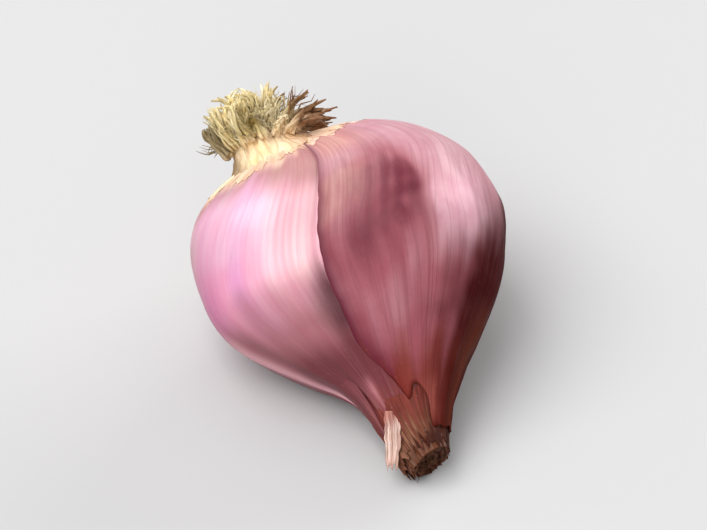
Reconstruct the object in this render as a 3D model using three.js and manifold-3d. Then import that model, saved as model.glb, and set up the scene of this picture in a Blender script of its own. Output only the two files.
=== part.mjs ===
// A small red onion of the shallot kind, lying on its side: a bulb of two joined lobes that runs out
// into a neck, the dry roots on its root plate, and a loose strip of skin beside the neck.
// Millimetres, +Z up. The neck points to -Y, the roots to +Y, and the smaller lobe lies to -X.

import * as THREE from 'three';
import { mergeVertices } from 'three/addons/utils/BufferGeometryUtils.js';
import Module from 'manifold-3d';

const { clamp, degToRad, lerp, smoothstep } = THREE.MathUtils;

// ---------------------------------------------------------------- driving dimensions

// The line that the onion grew along, from the root plate to the cut tip of the neck.
const growthLine = {
  root: [-4.2, 15.5, 20.6],
  rootPull: [-1.9, 5.3, 11.9],
  neckPull: [-4.8, -10.8, 5.6],
  tip: [-3.6, -23.4, 2.6],
};

// How far each lobe reaches from the growth line, and how far the groove between them does.
// widest and end are distances from the root plate, along the growth line.
// blunt is how square a lobe comes in to the root plate, neck and tip its reach where it is thin.
const mainLobe = { reach: 22.2, widest: 15.2, end: 47, blunt: 2.5, neck: 4.3, tip: 3.1 };
const smallLobe = { reach: 15.4, widest: 14, end: 38, blunt: 2.8, neck: 2.9, tip: 1.9 };
const groove = { reach: 11.4, widest: 14.7, end: 43, blunt: 2.6, neck: 3.4, tip: 2.5 };

const taperPower = 2.1; // how late a lobe starts to narrow towards the neck
const taperFinish = 2; // how gently it reaches the neck
const neckStart = 34; // distance from the root plate where the neck begins to thin
const plateRadius = 5; // the root plate's
const plateFade = 3; // how far the plate's rim shows along the growth line
const coreRise = 8; // distance from the root plate where the bulb's core is full width
const plateMelt = 1; // how softly the plate's rim melts into the core
const shoulderMelt = 3; // how softly a lobe melts into the neck
const grooveMelt = 0.8; // how softly the two lobes meet
const lobeRoll = 19; // degrees that the main lobe is rolled up from the table
const grooveTwist = 43; // degrees that the groove turns as it comes to the root plate
const twistLength = 18;

const around = 64; // faces round the bulb
const along = 48; // faces from the root plate to the tip
const capRows = 3; // of those, the rows that close each end
const endCrowding = 0.35; // how much the rows crowd together towards the ends, from 0 to 1

const partGap = 0.3; // between pieces that lie against each other
const rootPlate = { radius: 5, rim: 1.6, dome: 1.6, domeSteps: 4, faces: 24 };
const roots = {
  count: 48,
  sides: 6,
  steps: 3,
  spread: 4.5, // how far from the plate's middle the outermost root starts
  thinnest: 0.45,
  thickest: 0.75,
  shortest: 3.6,
  longest: 6.8,
  leanMiddle: 8, // degrees
  leanRim: 60,
  leanVaries: 14,
  sway: 1.6,
  droop: 1.2,
};
const goldenAngle = Math.PI * (3 - Math.sqrt(5)); // spreads the roots evenly over the plate
const neckStrip = {
  start: 36.2,
  end: 43.2,
  startAngle: 106,
  endAngle: 128,
  width: 1.9,
  thickness: 0.35,
  lift: 0.5, // how far its free end stands off the neck
  faces: [6, 1, 14],
};

// ---------------------------------------------------------------- small helpers

const point = (values) => new THREE.Vector3(...values);

// The larger of two lengths, with a rounded step between them.
function softMax(a, b, melt) {
  const near = Math.max(melt - Math.abs(a - b), 0) / melt;
  return Math.max(a, b) + near * near * melt / 4;
}

// A repeatable stand-in for chance, from 0 to 1, for the roots.
function chance(index, salt) {
  const value = Math.sin(index * 12.9898 + salt * 78.233) * 43758.5453;
  return value - Math.floor(value);
}

// ---------------------------------------------------------------- bulb

const growthCurve = new THREE.CubicBezierCurve3(
  point(growthLine.root), point(growthLine.rootPull), point(growthLine.neckPull), point(growthLine.tip));
growthCurve.arcLengthDivisions = 400;
const growthLength = growthCurve.getLength();

// The place on the growth line at a distance from the root plate, with the directions across it:
// side points from the small lobe to the main lobe, and up points out of the groove.
function frameAt(distance) {
  const share = clamp(distance / growthLength, 0, 1);
  const centre = growthCurve.getPointAt(share);
  const forward = growthCurve.getTangentAt(share);
  const level = new THREE.Vector3(1, 0, 0).addScaledVector(forward, -forward.x).normalize();
  const rise = new THREE.Vector3().crossVectors(forward, level).normalize();
  const roll = degToRad(lobeRoll);
  const side = level.clone().multiplyScalar(Math.cos(roll)).addScaledVector(rise, Math.sin(roll));
  const up = rise.clone().multiplyScalar(Math.cos(roll)).addScaledVector(level, -Math.sin(roll));
  return { centre, forward, side, up };
}

// A lobe's reach at a distance from the root plate: blunt at the root, a long shoulder to the neck.
function reachAt(lobe, distance) {
  const before = clamp((lobe.widest - distance) / lobe.widest, 0, 1);
  const after = clamp((distance - lobe.widest) / (lobe.end - lobe.widest), 0, 1);
  const body = distance < lobe.widest
    ? lobe.reach * (1 - before ** lobe.blunt) ** (1 / lobe.blunt)
    : lobe.reach * (1 - after ** taperPower) ** taperFinish;
  const plate = plateRadius * Math.exp(-((distance / plateFade) ** 2));
  const neck = lerp(lobe.neck, lobe.tip, smoothstep(distance, neckStart, growthLength));
  const core = softMax(neck * clamp(distance / coreRise, 0, 1), plate, plateMelt);
  return softMax(body, core, shoulderMelt * clamp(distance / lobe.widest, 0.05, 1));
}

// The bulb's radius round the growth line. Across the line each lobe is a circle that passes
// through its own outermost point and through the groove on both sides.
function radiusAt(distance, angle) {
  const grooveReach = reachAt(groove, distance);
  const circle = (reach, cosine) => {
    const offset = (reach ** 2 - grooveReach ** 2) / (2 * reach);
    const radius = (reach ** 2 + grooveReach ** 2) / (2 * reach);
    return offset * cosine + Math.sqrt(Math.max(radius ** 2 - (offset * Math.sin(angle)) ** 2, 0));
  };
  return softMax(
    circle(reachAt(mainLobe, distance), Math.cos(angle)),
    circle(reachAt(smallLobe, distance), -Math.cos(angle)), grooveMelt);
}

// A point of the bulb's skin. Below the table's height the onion is pressed flat: it rests there.
function skinPoint(distance, angle, scale) {
  const { centre, side, up } = frameAt(distance);
  const twist = degToRad(grooveTwist) * clamp(1 - distance / twistLength, 0, 1) ** 1.5;
  const radius = radiusAt(distance, angle) * scale;
  const skin = centre.clone()
    .addScaledVector(side, radius * Math.cos(angle - twist))
    .addScaledVector(up, radius * Math.sin(angle - twist));
  skin.z = Math.max(skin.z, 0);
  return skin;
}

// A sphere's rings become the root plate, the rows along the growth line, and the cut tip.
function makeBulb() {
  const sphere = new THREE.SphereGeometry(1, around, along);
  const { position, uv } = sphere.attributes;
  for (let i = 0; i < position.count; i += 1) {
    const row = Math.round((1 - uv.getY(i)) * along);
    const angle = -2 * Math.PI * Math.round(uv.getX(i) * around) / around;
    const share = clamp((row - capRows) / (along - 2 * capRows), 0, 1);
    const eased = lerp(share, 0.5 - 0.5 * Math.cos(Math.PI * share), endCrowding);
    const scale = clamp(Math.min(row, along - row) / capRows, 0, 1);
    const skin = skinPoint(eased * growthLength, angle, scale);
    position.setXYZ(i, skin.x, skin.y, skin.z);
  }
  return sphere;
}

// ---------------------------------------------------------------- root tuft

const wasm = await Module();
wasm.setup();

// A closed three.js geometry as a solid that can be joined to others.
function toSolid(geometry) {
  const bare = geometry.clone();
  bare.deleteAttribute('normal');
  bare.deleteAttribute('uv');
  const merged = mergeVertices(bare, 1e-4);
  return new wasm.Manifold(new wasm.Mesh({
    numProp: 3,
    vertProperties: Float32Array.from(merged.attributes.position.array),
    triVerts: Uint32Array.from(merged.index.array),
  }));
}

function toGeometry(solid) {
  const { vertProperties, triVerts } = solid.getMesh();
  const geometry = new THREE.BufferGeometry();
  geometry.setAttribute('position', new THREE.BufferAttribute(vertProperties, 3));
  geometry.setIndex(new THREE.BufferAttribute(triVerts, 1));
  geometry.computeVertexNormals();
  return geometry;
}

// The domed disc that the roots grow from, on its own axis: a short rim with a quarter ellipse on it.
function makeRootPlate() {
  const { radius, rim, dome, domeSteps, faces } = rootPlate;
  const profile = [new THREE.Vector2(0, partGap), new THREE.Vector2(radius, partGap)];
  for (let step = 0; step < domeSteps; step += 1) {
    const turn = step / domeSteps * Math.PI / 2;
    profile.push(new THREE.Vector2(
      radius * Math.cos(turn), partGap + rim + dome * Math.sin(turn)));
  }
  profile.push(new THREE.Vector2(0, partGap + rim + dome));
  return new THREE.LatheGeometry(profile, faces);
}

// A regular polygon about the origin.
function polygon(sides, radius) {
  const corners = Array.from({ length: sides }, (_, side) => {
    const turn = side / sides * 2 * Math.PI;
    return new THREE.Vector2(radius * Math.cos(turn), radius * Math.sin(turn));
  });
  return new THREE.Shape(corners);
}

// One dry root: a thin rod that leaves the plate, leans out more the nearer it is to the rim,
// and bends over towards its cut end.
function makeRoot(index) {
  const spread = Math.sqrt((index + 0.5) / roots.count);
  const heading = index * goldenAngle;
  const out = new THREE.Vector3(Math.cos(heading), 0, Math.sin(heading));
  const sideways = new THREE.Vector3(-out.z, 0, out.x);
  const lean = degToRad(
    lerp(roots.leanMiddle, roots.leanRim, spread ** 1.5) + roots.leanVaries * (chance(index, 1) - 0.5));
  const length = lerp(roots.longest, roots.shortest, lerp(spread, chance(index, 2), 0.4));
  const sway = roots.sway * (chance(index, 3) - 0.5);
  const droop = roots.droop * spread;
  const base = out.clone().multiplyScalar(roots.spread * spread).setY(rootPlate.rim);
  const aim = out.clone().multiplyScalar(Math.sin(lean)).setY(Math.cos(lean));
  const middle = base.clone().addScaledVector(aim, length / 2);
  const end = base.clone().addScaledVector(aim, length).addScaledVector(sideways, sway);
  end.addScaledVector(out, droop).setY(end.y - droop);
  const radius = lerp(roots.thinnest, roots.thickest, chance(index, 4));
  const extrudePath = new THREE.QuadraticBezierCurve3(base, middle, end);
  return new THREE.ExtrudeGeometry(
    polygon(roots.sides, radius), { steps: roots.steps, bevelEnabled: false, extrudePath });
}

// The plate and its roots as one body, turned from +Y to the way the growth line leaves the bulb.
function makeRootTuft() {
  let tuft = toSolid(makeRootPlate());
  for (let index = 0; index < roots.count; index += 1) {
    tuft = tuft.add(toSolid(makeRoot(index)));
  }
  const geometry = toGeometry(tuft);
  const { centre, forward, side } = frameAt(0);
  const outward = forward.clone().negate();
  const across = new THREE.Vector3().crossVectors(side, outward);
  geometry.applyMatrix4(new THREE.Matrix4().makeBasis(side, outward, across).setPosition(centre));
  return geometry;
}

// ---------------------------------------------------------------- loose strip of skin

// A thin curved plate that follows the neck and lifts away from it towards the tip.
function makeNeckStrip() {
  const block = new THREE.BoxGeometry(1, 1, 1, ...neckStrip.faces);
  const { position } = block.attributes;
  for (let i = 0; i < position.count; i += 1) {
    const across = -position.getX(i);
    const height = position.getY(i) + 0.5;
    const share = position.getZ(i) + 0.5;
    const distance = lerp(neckStrip.start, neckStrip.end, share);
    const { centre } = frameAt(distance);
    const narrowed = neckStrip.width * Math.sqrt(Math.sin(Math.PI * lerp(0.12, 0.9, share)));
    const middle = degToRad(lerp(neckStrip.startAngle, neckStrip.endAngle, share));
    const angle = middle + across * narrowed / smallLobe.neck;
    const skin = skinPoint(distance, angle, 1);
    const outward = skin.clone().sub(centre).normalize();
    const lift = partGap + neckStrip.lift * share ** 2 + neckStrip.thickness * height;
    skin.addScaledVector(outward, lift);
    position.setXYZ(i, skin.x, skin.y, skin.z);
  }
  return block;
}

// ---------------------------------------------------------------- assembly

function addPart(group, name, geometry, colour, roughness) {
  const material = new THREE.MeshStandardMaterial({ color: colour, roughness, metalness: 0 });
  const mesh = new THREE.Mesh(geometry, material);
  mesh.name = name;
  group.add(mesh);
}

const onion = new THREE.Group();
addPart(onion, 'bulb', makeBulb(), 0xa8586a, 0.45);
addPart(onion, 'root_tuft', makeRootTuft(), 0xd2b880, 0.85);
addPart(onion, 'neck_strip', makeNeckStrip(), 0xd8b8a0, 0.7);

export default onion;
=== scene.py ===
# A small red onion of the shallot kind, lying on its side: two joined lobes that run out into a
# dry neck, a papery skin round the larger lobe, and the matted roots on the root plate.
# Lengths in the settings are millimetres, and meshes are put in as metres. Angles are degrees, or
# radians where a note says so.
import math

import bpy
import numpy as np
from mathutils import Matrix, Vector


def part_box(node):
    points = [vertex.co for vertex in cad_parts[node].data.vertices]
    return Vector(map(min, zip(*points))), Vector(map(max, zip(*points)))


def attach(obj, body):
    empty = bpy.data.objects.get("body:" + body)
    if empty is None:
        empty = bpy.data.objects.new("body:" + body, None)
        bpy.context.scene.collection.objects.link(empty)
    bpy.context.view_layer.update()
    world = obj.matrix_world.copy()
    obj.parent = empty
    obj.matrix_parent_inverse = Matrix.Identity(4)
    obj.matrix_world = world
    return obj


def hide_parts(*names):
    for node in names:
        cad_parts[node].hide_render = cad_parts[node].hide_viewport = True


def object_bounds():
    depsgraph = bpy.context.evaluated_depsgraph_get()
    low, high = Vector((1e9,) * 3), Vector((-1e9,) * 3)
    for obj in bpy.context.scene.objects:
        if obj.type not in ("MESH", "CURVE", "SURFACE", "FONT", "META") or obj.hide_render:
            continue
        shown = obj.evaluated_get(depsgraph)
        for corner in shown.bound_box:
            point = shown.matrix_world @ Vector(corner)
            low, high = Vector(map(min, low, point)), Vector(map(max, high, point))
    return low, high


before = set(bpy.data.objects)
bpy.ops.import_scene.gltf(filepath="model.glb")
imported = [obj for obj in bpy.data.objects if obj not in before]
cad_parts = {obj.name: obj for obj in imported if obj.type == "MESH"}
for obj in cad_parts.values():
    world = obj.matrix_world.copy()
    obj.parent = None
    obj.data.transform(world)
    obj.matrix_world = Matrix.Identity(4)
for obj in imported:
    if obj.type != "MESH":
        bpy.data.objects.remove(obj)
cadLow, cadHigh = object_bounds()
print("frame loaded:", ", ".join(sorted(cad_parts)))

millimetre = 0.001
fullTurn = 2 * math.pi
goldenAngle = math.pi * (3 - math.sqrt(5))


# numbers and noises

def clamp(values, low=0.0, high=1.0):
    # the values, held between low and high
    return np.clip(values, low, high)


def ease(values, start, end):
    # an S-shaped step from 0 at start to 1 at end: 3 t squared less 2 t cubed
    share = clamp((values - start) / (end - start))
    return share * share * (3 - 2 * share)


def between(values, start, full, fade, end):
    # an S-shaped step up from start to full, times one down from fade to end
    return ease(values, start, full) * (1 - ease(values, fade, end))


def bump(values, middle, spread):
    # a bell of height 1 about middle: e to the minus of the squared distance over spread
    return np.exp(-((values - middle) / spread) ** 2)


def bumps(values, rows):
    # the sum of several bells, each given as its height, middle and spread
    return sum(height * bump(values, middle, spread) for height, middle, spread in rows)


def mix(first, second, share):
    # the first value at share 0, the second at share 1, and a straight line between them
    return first + (second - first) * share


def wrap(angle):
    # the same angle between minus and plus half a turn
    return (angle + math.pi) % fullTurn - math.pi


def softMax(first, second, melt):
    # the larger of two lengths, with a rounded step where they are within melt of each other
    near = np.maximum(melt - np.abs(first - second), 0) / melt
    return np.maximum(first, second) + near * near * melt / 4


def unit(vectors):
    # each vector over its own length
    return vectors / np.maximum(np.linalg.norm(vectors, axis=-1, keepdims=True), 1e-12)


def screen(red, green, blue):
    # a colour as a screen shows it, 0 to 255, turned into linear light by the power 2.2
    return (np.array([red, green, blue]) / 255) ** 2.2


def softNoise(points, size, seed, waves=20):
    # smooth lumps of about -1 to 1: the sum of plane waves in random directions, each about size long
    draw = np.random.default_rng(seed)
    heading = unit(draw.normal(size=(waves, 3)))
    length = size * draw.uniform(0.7, 1.6, waves)
    phase = draw.uniform(0, fullTurn, waves)
    total = 0
    for wave in range(waves):
        total = total + np.cos(points @ heading[wave] * fullTurn / length[wave] + phase[wave])
    return total / math.sqrt(waves)


def ripple(angle, distance, fewest, most, wander, seed, waves=12):
    # ridges that run lengthwise: waves that fit a whole number of times round the bulb, whose
    # phases drift by wander as they go along it
    draw = np.random.default_rng(seed)
    total = 0
    for wave in range(waves):
        count = draw.integers(fewest, most + 1)
        phase, start = draw.uniform(0, fullTurn, 2)
        pace = draw.uniform(0.04, 0.11)
        total = total + np.cos(count * angle + phase + wander * np.sin(distance * pace * 2 + start))
    return total / math.sqrt(waves)


# the bulb's shape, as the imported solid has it

bulbShape = {
    "root": (-4.2, 15.5, 20.6),
    "rootPull": (-1.9, 5.3, 11.9),
    "neckPull": (-4.8, -10.8, 5.6),
    "tip": (-3.6, -23.4, 2.6),
    "lineSteps": 4001,  # how many points the growth line is worked out at
    "pastTip": 5,  # how far it runs on straight past the tip
    "mainLobe": {"reach": 22.2, "widest": 15.2, "end": 47, "blunt": 2.5, "neck": 4.3, "tip": 3.1},
    "smallLobe": {"reach": 15.4, "widest": 14, "end": 38, "blunt": 2.8, "neck": 2.9, "tip": 1.9},
    "groove": {"reach": 11.4, "widest": 14.7, "end": 43, "blunt": 2.6, "neck": 3.4, "tip": 2.5},
    "taperPower": 2.1,  # how late and how thinly a lobe runs out past its widest place
    "taperFinish": 2,
    "neckStart": 34,  # where the neck starts to narrow towards the tip
    "plateRadius": 5,  # the shoulder that the root plate makes, and how fast it dies away
    "plateFade": 3,
    "coreRise": 8,
    "plateMelt": 1,  # how softly the plate, the lobes and the two sides of the groove join
    "shoulderMelt": 3,
    "grooveMelt": 0.8,
    "lobeRoll": 19,  # how far the main lobe is turned up about the growth line
    "grooveTwist": 43,  # how far the groove is twisted at the root plate, and over what length
    "twistLength": 18,
    "twistPower": 1.5,
    "pressMelt": 0.3,  # how softly the skin rolls on to the flat spots that it rests on
    "pinch": 0.13,  # how much the dry neck closes in at its end, and over what length
    "pinchLength": 2.6,
    "pinchPastTip": 0.7,
    "pinchOval": 0.3,  # how much more it closes across one direction, which is in radians
    "pinchTurn": 0.6,
}


def growthLine():
    # the cubic Bezier curve from the root plate to the tip, drawn on straight past the tip, with
    # its direction and its length from the root plate at each point
    corners = [np.array(bulbShape[name], float) for name in ("root", "rootPull", "neckPull", "tip")]
    root, rootPull, neckPull, tip = corners
    share = np.linspace(0, 1, bulbShape["lineSteps"])[:, None]
    rest = 1 - share
    points = rest**3 * root + 3 * rest**2 * share * rootPull + 3 * rest * share**2 * neckPull
    points = points + share**3 * tip
    heading = rest**2 * (rootPull - root) + 2 * rest * share * (neckPull - rootPull)
    heading = unit(heading + share**2 * (tip - neckPull))
    steps = np.linalg.norm(np.diff(points, axis=0), axis=1)
    distance = np.concatenate([[0], np.cumsum(steps)])
    points = np.vstack([points, points[-1] + heading[-1] * bulbShape["pastTip"]])
    heading = np.vstack([heading, heading[-1]])
    return points, heading, np.append(distance, distance[-1] + bulbShape["pastTip"]), distance[-1]


linePoints, lineHeading, lineDistance, growthLength = growthLine()


def frameAt(distance):
    # the point of the growth line at a distance, its forward direction, side (from the small lobe
    # to the main one) and up (out of the groove)
    def read(table):
        # each column of a table of points, read between the two nearest rows
        return np.stack([np.interp(distance, lineDistance, column) for column in table.T], -1)

    centre = read(linePoints)
    forward = unit(read(lineHeading))
    level = unit(np.array([1.0, 0, 0]) - forward * forward[..., :1])
    rise = np.cross(forward, level)
    roll = math.radians(bulbShape["lobeRoll"])
    side = level * math.cos(roll) + rise * math.sin(roll)
    up = rise * math.cos(roll) - level * math.sin(roll)
    return centre, forward, side, up


def reachAt(lobe, distance):
    # a blunt power curve up to the lobe's widest place, a long tapering one after it, and the
    # root plate and the neck where they stand further out
    before = clamp((lobe["widest"] - distance) / lobe["widest"])
    after = clamp((distance - lobe["widest"]) / (lobe["end"] - lobe["widest"]))
    body = lobe["reach"] * (1 - before ** lobe["blunt"]) ** (1 / lobe["blunt"])
    body = body * (1 - after ** bulbShape["taperPower"]) ** bulbShape["taperFinish"]
    plate = bulbShape["plateRadius"] * np.exp(-((distance / bulbShape["plateFade"]) ** 2))
    neck = mix(lobe["neck"], lobe["tip"], ease(distance, bulbShape["neckStart"], growthLength))
    neck = neck * clamp(distance / bulbShape["coreRise"])
    core = softMax(neck, plate, bulbShape["plateMelt"])
    melt = bulbShape["shoulderMelt"] * clamp(distance / lobe["widest"], 0.05, 1)
    return softMax(body, core, melt)


def radiusAt(distance, angle):
    # each lobe's section is a circle through its outermost point and the groove on both sides,
    # and the bulb's is the larger of the two
    groove = reachAt(bulbShape["groove"], distance)

    def circle(lobe, cosine):
        # how far out the lobe's circle is: its middle's offset times the cosine, plus the root of
        # the squared radius less the squared offset times the sine
        reach = reachAt(bulbShape[lobe], distance)
        offset = (reach**2 - groove**2) / (2 * reach)
        radius = (reach**2 + groove**2) / (2 * reach)
        return offset * cosine + np.sqrt(np.maximum(radius**2 - (offset * np.sin(angle)) ** 2, 0))

    main = circle("mainLobe", np.cos(angle))
    small = circle("smallLobe", -np.cos(angle))
    return softMax(main, small, bulbShape["grooveMelt"])


def bareSkin(distance, angle, scale=1.0):
    # out from the growth line by the radius, turned by the twist of the groove near the root plate
    centre, _, side, up = frameAt(distance)
    fade = clamp(1 - distance / bulbShape["twistLength"]) ** bulbShape["twistPower"]
    turned = angle - math.radians(bulbShape["grooveTwist"]) * fade
    radius = radiusAt(distance, angle) * scale
    out = side * np.cos(turned)[..., None] + up * np.sin(turned)[..., None]
    return centre + out * radius[..., None]


def bareNormal(distance, angle):
    # the cross product of two short steps on the skin, round it and along it, facing out
    step = 0.05
    turn = 0.01
    along = bareSkin(distance + step, angle) - bareSkin(np.maximum(distance - step, 0), angle)
    around = bareSkin(distance, angle + turn) - bareSkin(distance, angle - turn)
    normal = unit(np.cross(along, around))
    outward = bareSkin(distance, angle) - frameAt(distance)[0]
    facing = np.sign(np.sum(normal * outward, axis=-1, keepdims=True))
    return normal * np.where(facing == 0, 1, facing)


def neckClosing(distance, angle):
    # the share that the dry neck loses to its pinched end: an S-shaped step along it, more across
    # one direction than the other
    along = ease(distance - growthLength, -bulbShape["pinchLength"], bulbShape["pinchPastTip"])
    oval = bulbShape["pinchOval"] * np.cos(2 * angle + bulbShape["pinchTurn"])
    return bulbShape["pinch"] * along * (1 + oval)


relief = {
    "dents": 0.16,
    "dentSize": 13,
    "facets": 0.14,  # the broad flats that run lengthwise, and where they fade out
    "facetsFade": (28, 38),
    "ribs": 0.014,  # the fine veins
    "pleats": 0.3,  # the folds of the neck, and where they start and are full
    "pleatsRise": (25, 38),
    "rootWrinkles": 0.16,
    "rootWrinklesFade": (1, 5),
}


def skinRelief(distance, angle, points):
    # dents, lengthwise flats and veins that fade in from the root plate, folds that deepen towards
    # the neck, and short wrinkles that gather to the root plate
    body = ease(distance, 1, 8)
    height = relief["dents"] * softNoise(points, relief["dentSize"], 3) * body
    facets = ripple(angle, distance, 5, 13, 0.5, 11) * body
    height = height + relief["facets"] * facets * (1 - ease(distance, *relief["facetsFade"]))
    height = height + relief["ribs"] * ripple(angle, distance, 50, 90, 0.6, 5) * body
    folds = 1 - np.abs(ripple(angle, distance, 7, 16, 0.8, 21, waves=5))
    height = height + relief["pleats"] * ease(distance, *relief["pleatsRise"]) * (folds - 0.4)
    gathered = 1 - ease(distance, *relief["rootWrinklesFade"])
    return height + relief["rootWrinkles"] * gathered * ripple(angle, distance, 16, 34, 0.4, 8)


def skinAt(distance, angle, lift=0.0, scale=1.0, pressed=0.0):
    # the skin with its relief, lifted along its normal, and pressed flat where it meets the table
    points = bareSkin(distance, angle, scale)
    height = skinRelief(distance, angle, points) * scale + lift
    points = points + bareNormal(distance, angle) * height[..., None]
    points[..., 2] = softMax(points[..., 2], pressed, bulbShape["pressMelt"])
    return points


def growthVector(distance, angle):
    # a place on the skin that has no seam: the cosine and sine of the angle, and the distance
    return np.stack([np.cos(angle), np.sin(angle), distance / growthLength], -1)


# putting surfaces into meshes

def gridOf(look, first, last, closed=False):
    # the share of the way along, and the place across from first to last, for every row and
    # column; a closed grid leaves out the last place, because it is the first again
    along = np.linspace(0, 1, look["rows"])
    across = np.linspace(first, last, look["columns"], endpoint=not closed)
    return np.meshgrid(along, across, indexing="ij")


def gridFaces(rows, columns, closed=False):
    # four corners for each cell of a grid of points that are numbered row by row
    row = np.arange(rows - 1)[:, None]
    column = np.arange(columns if closed else columns - 1)[None, :]
    beside = (column + 1) % columns
    corners = [row * columns + column, row * columns + beside,
               (row + 1) * columns + beside, (row + 1) * columns + column]
    shape = (rows - 1, column.size)
    return np.stack([np.broadcast_to(corner, shape) for corner in corners], -1).reshape(-1, 4)


def fanFaces(centre, ring, flipped=False):
    # a triangle from each step of a ring to a middle point
    beside = np.roll(ring, -1)
    order = [beside, ring] if flipped else [ring, beside]
    return np.stack([np.full_like(ring, centre), *order], -1)


def cappedFaces(rows, columns, turned=False):
    # a grid that closes round, with a fan at its start and one at its end to the two poles, whose
    # points come after the grid's; turned makes the other side the outer one
    count = rows * columns
    ring = np.arange(columns)
    sides = gridFaces(rows, columns, closed=True)
    return [sides[:, ::-1] if turned else sides,
            fanFaces(count, ring, flipped=not turned),
            fanFaces(count + 1, ring + count - columns, flipped=turned)]


def withPoles(grid, start, end):
    # a grid's rows of three numbers, with those of the two poles after them
    return np.vstack([grid.reshape(-1, 3), start, end])


def makePiece(name, points, faces, tints, growth, finish, gloss=None):
    # points in millimetres, with a colour, a growth vector and, where it shines, a gloss for each
    points = points.reshape(-1, 3)
    mesh = bpy.data.meshes.new(name)
    flat = [face for group in faces for face in group.tolist()]
    mesh.from_pydata((points * millimetre + placeShift).tolist(), [], flat)
    colours = np.column_stack([tints.reshape(-1, 3), np.ones(len(points))])
    attributes = [("skinTint", "FLOAT_COLOR", "color", colours),
                  ("growth", "FLOAT_VECTOR", "vector", growth)]
    if gloss is not None:
        attributes.append(("gloss", "FLOAT", "value", gloss))
    for label, kind, field, values in attributes:
        attribute = mesh.attributes.new(label, kind, "POINT")
        attribute.data.foreach_set(field, np.ascontiguousarray(values, float).ravel())
    mesh.polygons.foreach_set("use_smooth", np.ones(len(mesh.polygons), bool))
    mesh.materials.append(materials[finish])
    piece = bpy.data.objects.new(name, mesh)
    bpy.context.scene.collection.objects.link(piece)
    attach(piece, "root")
    print(f"made {name}: {len(points)} points, {len(flat)} faces")
    return piece


def makeSheet(name, look, points, tints, growth, finish, closed=False, gloss=None):
    # one grid of points as a sheet of skin, with half of its thickness on each side
    faces = [gridFaces(look["rows"], look["columns"], closed)]
    piece = makePiece(name, points, faces, tints, growth, finish, gloss)
    wall = piece.modifiers.new("thickness", "SOLIDIFY")
    wall.thickness = look["thickness"] * millimetre
    wall.offset = 0
    return piece


def findPlaceShift():
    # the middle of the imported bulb's box, less the middle of the same bulb's as worked out here
    share = np.linspace(0, 1, 200)
    distance, angle = np.meshgrid(growthLength * share, fullTurn * share, indexing="ij")
    points = bareSkin(distance, angle)
    points[..., 2] = np.maximum(points[..., 2], 0)
    packedLow, packedHigh = (np.array(corner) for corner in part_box("bulb"))
    points = points.reshape(-1, 3)
    return (packedLow + packedHigh) / 2 - (points.min(0) + points.max(0)) / 2 * millimetre


placeShift = findPlaceShift()
print("bulb is", np.round(placeShift / millimetre, 3), "mm from where the packed one is")


# painting

def plain(colour, places):
    # one colour for every one of an array of places
    return np.broadcast_to(colour, np.shape(places) + (3,)).copy()


def towards(tints, colour, share):
    # each place's colour, taken the share of the way to another one
    return tints + (colour - tints) * np.asarray(share)[..., None]


def spots(rows, around, streak, distance):
    # the sum of spots on the skin: each is a height, times a bell round the bulb whose edge the
    # streaks pull about, times a bell along it
    total = 0
    for height, pull, angle, wide, place, long in rows:
        total = total + height * bump(around + pull * streak, angle, wide) * bump(distance, place, long)
    return total


def band(row, around, distance):
    # a height, times a bell round the bulb, times a step in and a step out along it
    height, angle, wide, *ends = row
    return height * bump(around, angle, wide) * between(distance, *ends)


# shader groups and materials

def addNode(tree, kind, **settings):
    # a new node of that kind, with its own settings
    node = tree.nodes.new(kind)
    for name, value in settings.items():
        setattr(node, name, value)
    return node


def connect(tree, socket, source):
    # joins an output to an input, or puts a plain value in it
    if isinstance(source, bpy.types.NodeSocket):
        tree.links.new(source, socket)
    else:
        socket.default_value = source


def feed(tree, node, **sources):
    # an output or a value for each input, named with underscores for its spaces
    for name, source in sources.items():
        connect(tree, node.inputs[name.replace("_", " ")], source)
    return node


def feedInOrder(tree, node, *sources):
    # the same for inputs that share one name: the first sources go to the first inputs
    for socket, source in zip(node.inputs, sources):
        connect(tree, socket, source)
    return node


def calculate(tree, operation, *sources, limit=False):
    # one sum of one or two numbers, held between 0 and 1 where limit says so
    node = addNode(tree, "ShaderNodeMath", operation=operation, use_clamp=limit)
    return feedInOrder(tree, node, *sources).outputs[0]


def blendColours(tree, method, share, first, second):
    # the second colour over the first by a share, with the Mix node's sockets for colours
    node = addNode(tree, "ShaderNodeMix", data_type="RGBA", blend_type=method)
    for place, source in ((0, share), (6, first), (7, second)):
        connect(tree, node.inputs[place], source)
    return node.outputs[2]


def newGroup(name, inputs, outputs):
    # an empty group with named inputs, each of a kind and with its usual value, and named outputs
    group = bpy.data.node_groups.new(name, "ShaderNodeTree")
    for label, (kind, value) in inputs.items():
        socket = group.interface.new_socket(name=label, in_out="INPUT", socket_type=kind)
        if value is not None:
            socket.default_value = value
    for label in outputs:
        group.interface.new_socket(name=label, in_out="OUTPUT", socket_type="NodeSocketFloat")
    return group, addNode(group, "NodeGroupInput"), addNode(group, "NodeGroupOutput")


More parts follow.
